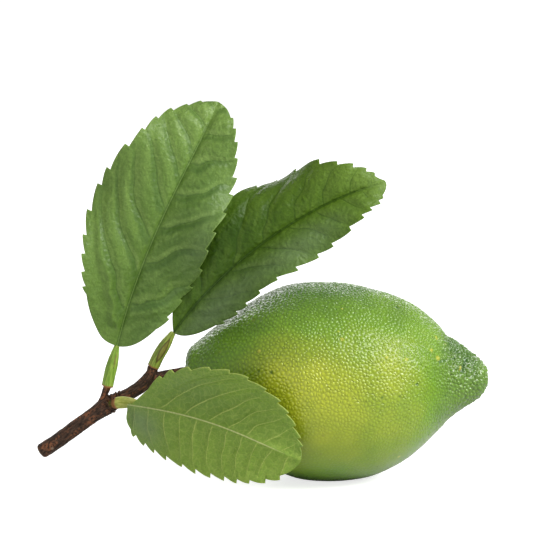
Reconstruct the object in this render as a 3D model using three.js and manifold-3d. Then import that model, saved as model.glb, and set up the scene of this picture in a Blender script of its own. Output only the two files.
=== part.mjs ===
// A lime as picked: the fruit lying on its side, a short forked twig, and three saw-toothed leaves on swollen
// stalks. Millimetres, +Z up. +X runs along the fruit towards its nipple, and -Y is the front of the spray.
// The origin is the middle of the small flat spot that the fruit rests on.
import * as THREE from 'three';
import { mergeVertices } from 'three/addons/utils/BufferGeometryUtils.js';
import Module from 'manifold-3d';

const wasm = await Module();
wasm.setup();

// Fruit
const fruitRadius = 25;
const fruitSides = 48;
const fruitRings = 46;
const restDepth = 0.45; // how much of the round belly the rest spot takes off
const axisHeight = fruitRadius - restDepth;
// Along the fruit, from the dimple that holds the stem to the scar at the tip: x, radius, and how far its
// middle line rises above the height of the belly's middle
const fruitProfile = [
  [-34.5, 0, 2.6], [-34.9, 1.9, 2.6], [-34.7, 3.9, 2.6], [-33.7, 6.1, 2.5], [-31.5, 8.2, 2.25],
  [-28.4, 11.2, 1.9], [-23.3, 15.2, 1.45], [-18.8, 18.7, 1.05], [-15, 21.25, 0.75], [-10.8, 23.3, 0.45],
  [-6.2, 24.6, 0.2], [0, fruitRadius, 0], [6, 24.65, -0.1], [11.8, 23.5, -0.2], [16.5, 21.8, 0.1],
  [20.8, 19.7, 0.45], [24.2, 17.3, 0.8], [27.3, 14.4, 1], [29.6, 12.1, 1.1], [31.2, 10.5, 1.1],
  [33, 9.1, 1.15], [35, 7.7, 1.15], [37.2, 6.1, 1], [39.2, 4.5, 0.8], [40.6, 2.6, 0.9], [41.2, 0, 1],
];
const crease = { x: 30.4, width: 1.1, depth: 0.7 }; // where the nipple starts, on the upper side only

// Twig: points along each branch, with the radius there
const mainTwig = [
  [-71.1, 1.5, 6.6, 1.88], [-68.2, 1.2, 8.55, 1.9], [-62.1, 0.7, 13.05, 1.9], [-57.8, 0.3, 16.25, 1.95],
  [-54.6, 0, 18.5, 2.3], [-52.6, 0, 19.6, 2], [-49.9, 0, 21, 1.6], [-46.8, 0, 22.85, 1.65],
  [-44.5, 0, 25, 1.7], [-43.5, 0, 26.6, 1.5], [-43.1, -0.1, 28.15, 1.3],
];
const fruitBranch = [
  [-45, 0, 24.7, 1], [-42.8, 0, 25.7, 1.15], [-41, 0, 26.2, 1.02], [-38.35, 0, 26.8, 0.93],
  [-35.15, 0, 27.25, 0.98],
];
const upperSpur = [[-56.4, 0, 18.4, 1.2], [-55.5, -0.1, 21.2, 0.9], [-54.6, -0.35, 23.35, 1.15]];
const lowerSpur = [[-54, 0, 18.9, 1.5], [-52.8, -1.8, 19.3, 1.2], [-52.35, -2.55, 19.4, 1.2]];
const nodeRings = { every: 0.8, height: 0.11, from: 0.36, to: 0.56 }; // scars round the twig's node
const twigSides = 10;

// Stalks: the same, from the spur to the foot of the blade
const stalkSides = 10;
const stalkRidge = 0.07; // lengthwise ribs, as a share of the radius
const stalks = {
  petiole_upper: [
    [-54.45, -0.4, 23.75, 1.25], [-54, -0.6, 26, 1.4],
    [-53.1, -1, 29.8, 1.2], [-52.1, -1.5, 33.45, 0.8],
  ],
  petiole_middle: [
    [-42.95, -0.1, 28.6, 1.3], [-41.65, -0.4, 31.2, 1.42],
    [-39.9, -0.7, 34.1, 1.25], [-38.1, -1, 36.8, 0.8],
  ],
  petiole_lower: [
    [-52.1, -2.95, 19.5, 1.2], [-51.3, -4.3, 19.8, 1.2],
    [-50.3, -6, 20, 1.05], [-49.35, -7.55, 20.15, 0.75],
  ],
};

// Leaves
const bladeThickness = 0.7;
const ribHeight = 0.45; // how far the midrib stands out of the underside
const puff = 0.35; // how far the blade bulges between two side veins
const sideVeins = 8;
const veinLag = 0.16; // side veins leave the midrib this far behind where they reach the edge
const toothLean = 0.4; // how far a tooth's tip leans towards the tip of the leaf
const toothTip = 0.88; // a tooth rises over this share of its length, and drops over the rest
const toothShoulder = 0.62; // how far it has risen half-way up
const toothFade = 0.35; // teeth grow smaller towards both ends: a power of the sine of their angle
const bladeColumns = [0, 0.07, 0.38, 0.7, 1]; // across half a blade, from the midrib to the edge
const plainRows = 5; // rows across the toothless foot, and across the tip
// Each half has its width, where it is widest along the leaf, how full it is towards the ends, how steeply
// it folds up from the midrib and curls, in degrees, and a slow wave along its edge. Its teeth run from one
// angle to another, 0 at the foot and pi at the tip, and a spread over 1 sets them wider apart towards the
// tip. Left is left with the upper face in view.
const leaves = {
  leaf_upper: {
    rib: [[-52, -1.5, 33.9], [-45.2, -5, 61.9], [-31.7, -5, 82], [-26.7, 3, 94.7]],
    face: [[0.1, -1, 0.05], [0.05, -1, 0.35]],
    toothCount: 13,
    toothDepth: 1,
    left: {
      width: 17.1, widest: 0.45, fullness: 0.61, fold: 13, curl: -4, wave: 10.5, phase: -38,
      teeth: { from: 0.75, to: 2.79, spread: 1.35 },
    },
    right: {
      width: 13.7, widest: 0.42, fullness: 0.5, fold: 15, curl: -6, wave: 14.5, phase: 124,
      teeth: { from: 0.59, to: 2.64, spread: 1 },
    },
  },
  leaf_middle: {
    rib: [[-37.9, -1, 37.2], [-19.7, 0.5, 62.6], [9.2, -3, 75.3], [15.3, 2, 74]],
    face: [[0, -0.97, 0.26], [0, -0.97, 0.26]],
    toothCount: 13,
    toothDepth: 1,
    left: {
      width: 13.7, widest: 0.4, fullness: 0.92, fold: 23, curl: -31, wave: -22, phase: 74,
      teeth: { from: 0.58, to: 2.62, spread: 1 },
    },
    right: {
      width: 10.8, widest: 0.36, fullness: 0.48, fold: 23.5, curl: -4, wave: -11.5, phase: 54,
      teeth: { from: 0.62, to: 2.6, spread: 1.2 },
    },
  },
  leaf_lower: {
    rib: [[-49.1, -8, 20.2], [-26.1, -22.5, 20.1], [-18.7, -26.5, 14.8], [-6.2, -26, 9.9]],
    face: [[0.25, 1, 0.1], [0.1, 1, 0.05]],
    toothCount: 12,
    toothDepth: 0.95,
    left: {
      width: 13.2, widest: 0.34, fullness: 0.25, fold: 6, curl: 0, wave: 2, phase: 69,
      teeth: { from: 0.2, to: 2.6, spread: 1.25 },
    },
    right: {
      width: 15.8, widest: 0.49, fullness: 0.97, fold: 6, curl: -24, wave: 2, phase: 72,
      teeth: { from: 0.6, to: 2.75, spread: 1 },
    },
  },
};

const greenSkin = new THREE.MeshStandardMaterial({ color: 0x9bb040, roughness: 0.35, metalness: 0 });
const bark = new THREE.MeshStandardMaterial({ color: 0x4b372d, roughness: 0.85, metalness: 0 });
const stalkGreen = new THREE.MeshStandardMaterial({ color: 0x96aa4a, roughness: 0.5, metalness: 0 });
const leafGreen = new THREE.MeshStandardMaterial({ color: 0x64863f, roughness: 0.5, metalness: 0 });

// Merges shared points and drops the triangles that close up to a line at a pole or a tip.
function closedGeometry(geometry) {
  const bare = geometry.clone();
  bare.deleteAttribute('normal');
  bare.deleteAttribute('uv');
  const merged = mergeVertices(bare, 1e-3);
  const index = merged.index.array;
  const kept = [];
  for (let i = 0; i < index.length; i += 3) {
    const [a, b, c] = [index[i], index[i + 1], index[i + 2]];
    if (a !== b && b !== c && c !== a) kept.push(a, b, c);
  }
  merged.setIndex(kept);
  return merged;
}

function toSolid(geometry) {
  const closed = closedGeometry(geometry);
  return new wasm.Manifold(new wasm.Mesh({
    numProp: 3,
    vertProperties: new Float32Array(closed.attributes.position.array),
    triVerts: new Uint32Array(closed.index.array),
  }));
}

function fromSolid(solid) {
  const mesh = solid.getMesh();
  const geometry = new THREE.BufferGeometry();
  geometry.setAttribute('position', new THREE.BufferAttribute(new Float32Array(mesh.vertProperties), 3));
  geometry.setIndex(new THREE.BufferAttribute(new Uint32Array(mesh.triVerts), 1));
  return geometry;
}

function geometryFrom(points, triangles) {
  const geometry = new THREE.BufferGeometry();
  const numbers = points.flatMap((p) => [p.x, p.y, p.z]);
  geometry.setAttribute('position', new THREE.Float32BufferAttribute(numbers, 3));
  geometry.setIndex(triangles);
  return geometry;
}

// A branch: a round section carried along a curve through its points, its radius following theirs
function branch(stations, { sides, stepsEach, ridge = 0, bump = () => 0 }) {
  const path = new THREE.CatmullRomCurve3(stations.map(([x, y, z]) => new THREE.Vector3(x, y, z)));
  const girth = new THREE.SplineCurve(stations.map((s, i) => new THREE.Vector2(i, s[3])));
  const steps = stepsEach * (stations.length - 1);
  const frames = path.computeFrenetFrames(steps, false);
  const points = [];
  const triangles = [];
  for (let i = 0; i <= steps; i++) {
    const along = i / steps;
    const centre = path.getPointAt(along);
    const radius = girth.getPoint(path.getUtoTmapping(along)).y + bump(along, path.getLength());
    for (let j = 0; j < sides; j++) {
      const turn = (2 * Math.PI * j) / sides;
      const reach = radius * (1 + ridge * Math.cos((sides / 2) * turn));
      points.push(centre.clone()
        .addScaledVector(frames.normals[i], reach * Math.cos(turn))
        .addScaledVector(frames.binormals[i], reach * Math.sin(turn)));
      if (i === 0) continue;
      const [a, b] = [(i - 1) * sides + j, (i - 1) * sides + ((j + 1) % sides)];
      triangles.push(a, b, b + sides, a, b + sides, a + sides);
    }
  }
  const foot = points.length;
  points.push(path.getPointAt(0), path.getPointAt(1));
  for (let j = 0; j < sides; j++) {
    const next = (j + 1) % sides;
    triangles.push(foot, next, j, foot + 1, steps * sides + j, steps * sides + next);
  }
  return geometryFrom(points, triangles);
}

// The fruit is turned from its profile, its middle line is bent to its rise, the crease is pressed in above
// the nipple, and the rest spot is cut flat
function makeFruit() {
  const stations = fruitProfile.map(([x, radius, rise]) => new THREE.Vector3(radius, x, rise));
  const curve = new THREE.CatmullRomCurve3(stations);
  const outline = curve.getPoints(fruitRings);
  for (const end of [outline[0], outline[fruitRings]]) end.x = 0;
  const skin = new THREE.LatheGeometry(outline.map((p) => new THREE.Vector2(p.x, p.y)), fruitSides);
  skin.rotateZ(-Math.PI / 2);
  const position = skin.attributes.position;
  for (let i = 0; i < position.count; i++) {
    const [x, y, z] = [position.getX(i), position.getY(i), position.getZ(i)];
    const radius = Math.hypot(y, z);
    const upward = radius > 0 ? Math.max(0, z / radius) : 0;
    const pressed = crease.depth * upward * Math.exp(-(((x - crease.x) / crease.width) ** 2));
    const shrink = radius > 0 ? 1 - pressed / radius : 1;
    const { z: rise } = outline[i % outline.length];
    position.setXYZ(i, x, y * shrink, axisHeight + z * shrink + rise);
  }
  const under = new THREE.BoxGeometry(2 * fruitRadius, 2 * fruitRadius, fruitRadius);
  under.translate(0, 0, -fruitRadius / 2);
  return fromSolid(toSolid(skin).subtract(toSolid(under)));
}

function makeTwig() {
  const rings = (along, length) => {
    if (along < nodeRings.from || along > nodeRings.to) return 0;
    return nodeRings.height * Math.cos((2 * Math.PI * along * length) / nodeRings.every);
  };
  const main = toSolid(branch(mainTwig, { sides: twigSides, stepsEach: 9, bump: rings }));
  const sides = [fruitBranch, upperSpur, lowerSpur];
  const others = sides.map((stations) => toSolid(branch(stations, { sides: twigSides, stepsEach: 4 })));
  return fromSolid(others.reduce((all, one) => all.add(one), main));
}

const makeStalk = (stations) => branch(stations, { sides: stalkSides, stepsEach: 4, ridge: stalkRidge });

// The width of a half at t, 0 at the foot and 1 at the tip: a power of t times a power of 1 - t, matched so
// that it peaks at the widest place
function halfWidth({ width, widest, fullness }, t) {
  const after = (fullness * (1 - widest)) / widest;
  return width * (t / widest) ** fullness * ((1 - t) / (1 - widest)) ** after;
}

// Rows across half a blade, each at t along the leaf, with how far its tooth stands out
function bladeRows(count, { from, to, spread }) {
  const rows = [];
  const addRow = (angle, tooth) => rows.push({ angle, tooth, t: (1 - Math.cos(angle)) / 2 });
  const toothPlace = (number) => from + (to - from) * (number / count) ** spread;
  for (let i = 0; i < plainRows; i++) addRow((from * i) / plainRows, 0);
  for (let k = 0; k < count; k++) {
    addRow(toothPlace(k), 0);
    addRow(toothPlace(k + toothTip / 2), toothShoulder);
    addRow(toothPlace(k + toothTip), 1);
  }
  for (let i = 0; i <= plainRows; i++) addRow(to + ((Math.PI - to) * i) / plainRows, 0);
  return rows;
}

// A blade: two halves that stand out from the midrib, each point turned up from it by the half's fold, curl
// and wave
function makeBlade(leaf) {
  const rib = new THREE.CubicBezierCurve3(...leaf.rib.map((p) => new THREE.Vector3(...p)));
  const length = rib.getLength();
  const [faceFoot, faceTip] = leaf.face.map((f) => new THREE.Vector3(...f));
  const radians = Math.PI / 180;

  // The middle surface and its normal, at t along the midrib and a distance out from it.
  const place = (t, out, half, side, bulge) => {
    const forward = rib.getTangent(t);
    const face = faceFoot.clone().lerp(faceTip, t);
    const across = face.clone().cross(forward).normalize();
    const up = forward.clone().cross(across);
    const share = out / half.width;
    const wave = half.wave * Math.sin(4 * Math.PI * t + half.phase * radians);
    const turn = (half.fold + (half.curl + wave) * share) * radians;
    const slope = out > 0 ? (half.fold + 2 * (half.curl + wave) * share) * radians : 0;
    const normal = up.clone()
      .multiplyScalar(Math.cos(slope))
      .addScaledVector(across, -side * Math.sin(slope));
    const point = rib.getPoint(t)
      .addScaledVector(across, side * out * Math.cos(turn))
      .addScaledVector(up, out * Math.sin(turn))
      .addScaledVector(normal, bulge);
    return { point, normal };
  };

  const [leftRows, rightRows] = [leaf.left, leaf.right].map((half) => bladeRows(leaf.toothCount, half.teeth));
  const columns = [
    ...bladeColumns.slice(1).reverse().map((share) => ({ share, side: 1, half: leaf.left, rows: leftRows })),
    ...bladeColumns.map((share) => ({ share, side: -1, half: leaf.right, rows: rightRows })),
  ];
  const top = [];
  const bottom = [];
  for (let i = 0; i < leftRows.length; i++) {
    const middle = (leftRows[i].t + rightRows[i].t) / 2;
    const foot = middle - veinLag * 4 * middle * (1 - middle);
    for (const { share, side, half, rows } of columns) {
      const { angle, tooth, t } = rows[i];
      // A tooth stands square to the edge, and its tip leans along it
      const height = tooth * leaf.toothDepth * Math.sin(angle) ** toothFade;
      const slope = (halfWidth(half, Math.min(1, t + 0.004)) - halfWidth(half, t)) / 0.004 / length;
      const stretch = Math.hypot(1, slope);
      const edge = Math.min(1, t + (height * (toothLean - slope)) / stretch / length);
      const at = foot + (edge - foot) * share;
      const out = share * (halfWidth(half, t) + (height * (1 + toothLean * slope)) / stretch);
      const bulge = puff * 4 * share * (1 - share) * Math.sin(Math.PI * sideVeins * foot) ** 2;
      const { point, normal } = place(at, out, half, side, bulge);
      const keel = share === 0 ? ribHeight * (1 - middle) * Math.min(1, 8 * middle) : 0;
      top.push(point.clone().addScaledVector(normal, bladeThickness / 2));
      bottom.push(point.clone().addScaledVector(normal, -bladeThickness / 2 - keel));
    }
  }
  const wide = columns.length;
  const under = top.length;
  const triangles = [];
  const quad = (a, b, c, d) => triangles.push(a, b, c, a, c, d);
  for (let i = 1; i < leftRows.length; i++) {
    const [last, here] = [(i - 1) * wide, i * wide];
    for (let j = 1; j < wide; j++) {
      quad(last + j - 1, last + j, here + j, here + j - 1);
      triangles.push(under + last + j, under + last + j - 1, under + here + j);
      triangles.push(under + last + j - 1, under + here + j - 1, under + here + j);
    }
    quad(last, here, under + here, under + last);
    quad(here + wide - 1, last + wide - 1, under + last + wide - 1, under + here + wide - 1);
  }
  return closedGeometry(geometryFrom([...top, ...bottom], triangles));
}

const lime = new THREE.Group();

function addPart(name, geometry, material) {
  const mesh = new THREE.Mesh(geometry, material);
  mesh.name = name;
  lime.add(mesh);
}

addPart('lime_fruit', makeFruit(), greenSkin);
addPart('twig', makeTwig(), bark);
for (const [name, stations] of Object.entries(stalks)) addPart(name, makeStalk(stations), stalkGreen);
for (const [name, leaf] of Object.entries(leaves)) addPart(name, makeBlade(leaf), leafGreen);

export default lime;
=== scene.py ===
import math

import bmesh
import bpy
import numpy as np
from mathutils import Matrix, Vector


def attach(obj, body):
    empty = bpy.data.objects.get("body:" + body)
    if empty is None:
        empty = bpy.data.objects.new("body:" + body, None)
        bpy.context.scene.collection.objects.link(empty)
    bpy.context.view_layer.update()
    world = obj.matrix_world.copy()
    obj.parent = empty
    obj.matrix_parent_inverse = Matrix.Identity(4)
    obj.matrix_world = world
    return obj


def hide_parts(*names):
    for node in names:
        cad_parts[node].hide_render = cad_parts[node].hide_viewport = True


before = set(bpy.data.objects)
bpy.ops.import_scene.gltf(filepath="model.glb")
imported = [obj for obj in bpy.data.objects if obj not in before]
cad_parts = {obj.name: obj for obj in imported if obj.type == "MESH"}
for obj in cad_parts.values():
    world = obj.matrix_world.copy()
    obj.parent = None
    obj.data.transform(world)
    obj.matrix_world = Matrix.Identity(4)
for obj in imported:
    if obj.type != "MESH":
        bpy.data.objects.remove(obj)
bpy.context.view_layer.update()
millimetre = 0.001
print("frame loaded:", sorted(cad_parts))


def unit(vectors):
    # Each vector over its own length.
    return vectors / np.linalg.norm(vectors, axis=-1, keepdims=True)


def smoothPath(stations, shares):
    # A centripetal Catmull-Rom curve: between two stations it is a cubic whose end slopes come from the
    # square roots of the gaps to the stations on both sides. A share runs from 0 to 1, alike for each gap.
    stations = np.asarray(stations, float)
    padded = np.vstack([2 * stations[0] - stations[1], stations, 2 * stations[-1] - stations[-2]])
    gaps = len(stations) - 1
    place = np.clip(np.asarray(shares) * gaps, 0, gaps - 1e-9)
    first = place.astype(int)
    w = (place - first)[:, None]
    a, b, c, d = (padded[first + i] for i in range(4))
    before, here, after = (
        np.sum((q - p) ** 2, axis=1, keepdims=True) ** 0.25 for p, q in ((a, b), (b, c), (c, d))
    )
    leave = ((b - a) / before - (c - a) / (before + here) + (c - b) / here) * here
    arrive = ((c - b) / here - (d - b) / (here + after) + (d - c) / after) * here
    square, cube = 3 * (c - b) - 2 * leave - arrive, 2 * (b - c) + leave + arrive
    return b + leave * w + square * w ** 2 + cube * w ** 3


def evenPath(stations, rows):
    # The same curve, sampled at equal steps of its length; also gives the length walked to each row.
    fine = smoothPath(stations, np.linspace(0, 1, 2001))
    walked = np.concatenate([[0], np.cumsum(np.linalg.norm(np.diff(fine[:, :3], axis=0), axis=1))])
    length = np.linspace(0, walked[-1], rows)
    return np.stack([np.interp(length, walked, column) for column in fine.T], axis=1), length


def smoothNoise(points, size, seed, octaves=3):
    # A sum of sine waves in random directions, six an octave: each octave has waves half as long and half
    # as high. The last division brings it to about -1 to 1.
    random = np.random.default_rng(seed)
    total = np.zeros(points.shape[:-1])
    for octave in range(octaves):
        for _ in range(6):
            turns = unit(random.normal(size=3)) * 2 * math.pi * 2 ** octave
            direction = turns / (size * random.uniform(0.7, 1.4))
            total += np.sin(points @ direction + random.uniform(0, 2 * math.pi)) / 2 ** octave
    return total / 3.2


def gridShell(points, uv, values):
    # A sheet of quads over a grid of points; columns or rows that coincide are welded later.
    rows, columns = points.shape[:2]
    index = np.arange(rows * columns).reshape(rows, columns)
    quads = np.stack([index[:-1, :-1], index[:-1, 1:], index[1:, 1:], index[1:, :-1]], axis=-1)
    return {
        "points": points.reshape(-1, 3),
        "faces": quads.reshape(-1, 4),
        "uv": uv.reshape(-1, 2),
        "values": {name: np.broadcast_to(v, (rows, columns)).ravel() for name, v in values.items()},
    }


def buildPiece(name, shells, material, node, weld=0.002):
    # Puts shells of triangles or quads into one mesh, welds the points that are nearer than weld, turns the
    # faces outwards, and stands the piece in for its solid.
    points = np.concatenate([s["points"] for s in shells])
    offsets = np.cumsum([0] + [len(s["points"]) for s in shells[:-1]])
    faces = np.concatenate([s["faces"] + o for s, o in zip(shells, offsets)])
    corners = faces.ravel().astype(np.int32)
    size = faces.shape[1]
    mesh = bpy.data.meshes.new(name)
    mesh.vertices.add(len(points))
    mesh.vertices.foreach_set("co", (points * millimetre).astype(np.float32).ravel())
    mesh.loops.add(len(corners))
    mesh.loops.foreach_set("vertex_index", corners)
    mesh.polygons.add(len(faces))
    mesh.polygons.foreach_set("loop_start", np.arange(0, len(corners), size, dtype=np.int32))
    mesh.polygons.foreach_set("loop_total", np.full(len(faces), size, np.int32))
    mesh.update(calc_edges=True)
    uv = np.concatenate([s["uv"] for s in shells])[corners]
    mesh.uv_layers.new(name="surface").uv.foreach_set("vector", uv.astype(np.float32).ravel())
    for key in shells[0]["values"]:
        value = np.concatenate([s["values"][key] for s in shells])
        mesh.attributes.new(key, "FLOAT", "POINT").data.foreach_set("value", value.astype(np.float32))
    work = bmesh.new()
    work.from_mesh(mesh)
    bmesh.ops.remove_doubles(work, verts=work.verts, dist=weld * millimetre)
    bmesh.ops.dissolve_degenerate(work, edges=work.edges, dist=1e-7)
    bmesh.ops.recalc_face_normals(work, faces=work.faces)
    openEdges = sum(1 for e in work.edges if len(e.link_faces) != 2)
    work.to_mesh(mesh)
    work.free()
    mesh.polygons.foreach_set("use_smooth", np.ones(len(mesh.polygons), bool))
    mesh.materials.append(material)
    piece = bpy.data.objects.new(name, mesh)
    bpy.context.scene.collection.objects.link(piece)
    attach(piece, "root")
    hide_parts(node)
    triangleCount = sum(len(p.vertices) - 2 for p in mesh.polygons)
    print(f"{name}: {len(mesh.vertices)} points, {triangleCount} triangles, {openEdges} open edges")


def tubeShell(stations, rows, sides, aside, relief, roundEnds):
    # A round section carried along a path: each point is the middle line plus its radius times the cosine
    # and sine of its angle along two directions square to the path. relief(length, angle, point) adds to
    # the radius, and each end closes over a rim that is a quarter of an ellipse, as deep as its round end.
    path, length = evenPath(stations, rows)
    centre, radius = path[:, :3], path[:, 3]
    forward = unit(np.gradient(centre, axis=0))
    out = unit(np.cross(forward, np.asarray(aside, float)))
    over = np.cross(forward, out)
    angle = np.linspace(0, 2 * math.pi, sides + 1)
    rimRows = 6
    rim = np.linspace(0, math.pi / 2, rimRows)
    shrink = np.concatenate([np.sin(rim) ** 0.5, np.ones(rows - 2), np.cos(rim) ** 0.5])
    pick = np.concatenate([np.zeros(rimRows, int), np.arange(1, rows - 1), np.full(rimRows, rows - 1)])
    push = np.concatenate([-roundEnds[0] * np.cos(rim), np.zeros(rows - 2), roundEnds[1] * np.sin(rim)])
    cosine, sine = np.cos(angle)[None, :, None], np.sin(angle)[None, :, None]
    around = cosine * out[pick][:, None] + sine * over[pick][:, None]
    middle, length = centre[pick][:, None], length[pick]
    base = middle + around * radius[pick][:, None, None]
    reach = (radius[pick][:, None] + relief(length[:, None], angle[None, :], base)) * shrink[:, None]
    points = middle + around * reach[..., None] + (forward[pick] * push[:, None])[:, None]
    uv = np.stack(np.broadcast_arrays(angle[None, :] / (2 * math.pi), length[:, None]), axis=-1)
    return points, uv, length, shrink


def freshMaterial(name):
    # A material with an empty node tree, and that tree.
    material = bpy.data.materials.new(name)
    material.use_nodes = True
    material.node_tree.nodes.clear()
    return material, material.node_tree


def plug(tree, node, socket, value):
    # A socket takes another node's output as a link, and anything else as its own value.
    if isinstance(value, bpy.types.NodeSocket):
        tree.links.new(value, node.inputs[socket])
    else:
        node.inputs[socket].default_value = value


def addNode(tree, kind, inputs=None, **settings):
    # Inputs are a dictionary of socket name or number to a value or to another node's output.
    node = tree.nodes.new("ShaderNode" + kind)
    for key, value in settings.items():
        setattr(node, key, value)
    for key, value in (inputs or {}).items():
        plug(tree, node, key, value)
    return node


# Short forms of the nodes that the materials use
def mathNode(tree, operation, a, b=0.0, clamp=False):
    return addNode(tree, "Math", {0: a, 1: b}, operation=operation, use_clamp=clamp).outputs[0]


def scaled(tree, value, amount):
    # A value times a plain number or another value.
    return value if amount == 1 else mathNode(tree, "MULTIPLY", value, amount)


def mapRange(tree, value, low, high, toLow=0.0, toHigh=1.0, kind="SMOOTHSTEP"):
    inputs = {0: value, 1: low, 2: high, 3: toLow, 4: toHigh}
    return addNode(tree, "MapRange", inputs, interpolation_type=kind).outputs[0]


def mixColour(tree, factor, a, b, blend="MIX"):
    return addNode(tree, "Mix", {0: factor, 6: a, 7: b}, data_type="RGBA", blend_type=blend).outputs[2]


def layered(tree, tint, layers):
    # Lays colours over a tint, one after another: each shows where its mask says, times its share.
    for mask, share, over in layers:
        tint = mixColour(tree, scaled(tree, mask, share), tint, over)
    return tint


def attribute(tree, name):
    return addNode(tree, "Attribute", attribute_name=name).outputs["Fac"]


def noiseNode(tree, place, scale, detail, roughness=0.5):
    inputs = {"Vector": place, "Scale": scale, "Detail": detail, "Roughness": roughness}
    return addNode(tree, "TexNoise", inputs).outputs


def surfaceParts(tree):
    # The two coordinates of the piece's own map of its surface.
    surface = addNode(tree, "UVMap", uv_map="surface").outputs[0]
    return addNode(tree, "SeparateXYZ", {0: surface}).outputs


def bumpNode(tree, height, strength, depth):
    # The depth is in metres.
    inputs = {"Strength": strength, "Distance": depth, "Height": height}
    return addNode(tree, "Bump", inputs).outputs[0]


def showShader(tree, shader):
    addNode(tree, "OutputMaterial", {0: shader.outputs[0]})


def colour(red, green, blue):
    # A colour given as on a screen, 0 to 255, as the linear value that a shader takes.
    screen = np.array([red, green, blue]) / 255
    linear = np.where(screen <= 0.04045, screen / 12.92, ((screen + 0.055) / 1.055) ** 2.4)
    return (*[float(v) for v in linear], 1.0)


def nodeGroup(name, inputs, outputs):
    # A group with its named inputs and their defaults, and its named outputs.
    group = bpy.data.node_groups.new(name, "ShaderNodeTree")
    for socketName, default in inputs.items():
        socket = group.interface.new_socket(socketName, in_out="INPUT", socket_type="NodeSocketFloat")
        socket.default_value = default
    for socketName in outputs:
        group.interface.new_socket(socketName, in_out="OUTPUT", socket_type="NodeSocketFloat")
    return group, group.nodes.new("NodeGroupInput").outputs, group.nodes.new("NodeGroupOutput").inputs


def useGroup(tree, group, **values):
    # A group's outputs, with its inputs given by their names in lower case.
    node = addNode(tree, "Group", node_tree=group)
    for key, value in values.items():
        plug(tree, node, key[0].upper() + key[1:], value)
    return node.outputs


# Mottle: soft patches from noise on the object's own coordinates, 0 to 1 about a middle of 0.5
mottle, mottleIn, mottleOut = nodeGroup("mottle", {"Scale": 100.0, "Contrast": 1.0}, ["Mask"])
mottlePlace = addNode(mottle, "TexCoord").outputs["Object"]
centred = mathNode(mottle, "SUBTRACT", noiseNode(mottle, mottlePlace, mottleIn["Scale"], 4.0)[0], 0.5)
spread = mathNode(mottle, "MULTIPLY", centred, mottleIn["Contrast"])
mottle.links.new(mathNode(mottle, "ADD", spread, 0.5, clamp=True), mottleOut["Mask"])


def mottled(tree, scale, contrast):
    # The mottle's mask, at a scale and a contrast of its own.
    return useGroup(tree, mottle, scale=scale, contrast=contrast)[0]


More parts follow.
